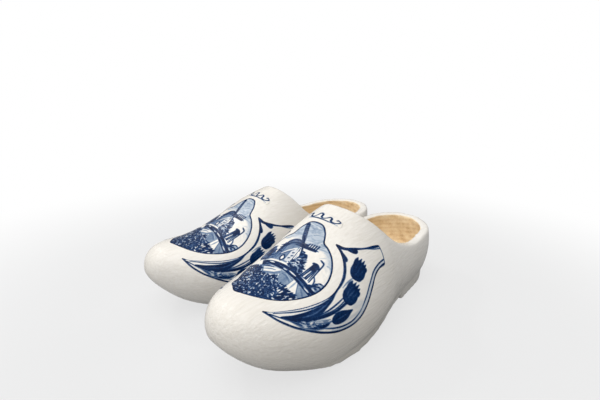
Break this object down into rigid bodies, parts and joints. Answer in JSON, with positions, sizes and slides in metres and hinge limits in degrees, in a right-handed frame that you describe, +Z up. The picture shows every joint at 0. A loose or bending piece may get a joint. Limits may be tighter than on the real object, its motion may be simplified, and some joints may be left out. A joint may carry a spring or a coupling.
{
  "type": "pair of painted wooden clogs",
  "caption": "Low backless wooden clogs carved from solid poplar, white lacquer outside, bare wood inside, with blue windmill and tulip transfers over the toes.",
  "frame": {"origin": "on the floor, at the middle of the box round the pair", "axes": "+Z up, toes towards -Y, the wearer's left clog on the +X side"},
  "size_m": [0.2286, 0.2936, 0.1086],
  "materials": {
    "lacquered_poplar": "white gloss lacquer outside and over the rim, bare sanded poplar inside",
    "windmill_print": "thin printed film under clear varnish, blues on a pale ground",
    "tulip_print": "thin printed film under clear varnish, deep blue on white",
    "scroll_print": "thin printed film under clear varnish, dark blue pen line"
  },
  "bodies": {
    "right_clog": {"right_clog_body": "lacquered_poplar", "right_windmill_transfer": "windmill_print", "right_outer_tulip_transfer": "tulip_print", "right_inner_tulip_transfer": "tulip_print", "right_scroll_transfer": "scroll_print"},
    "left_clog": {"left_clog_body": "lacquered_poplar", "left_windmill_transfer": "windmill_print", "left_outer_tulip_transfer": "tulip_print", "left_inner_tulip_transfer": "tulip_print", "left_scroll_transfer": "scroll_print"}
  },
  "joints": [
    {"name": "left_clog_lift", "type": "slide", "parent": "right_clog", "child": "left_clog", "axis": [0, 0, 1], "range_m": [0, 0.12]}
  ]
}
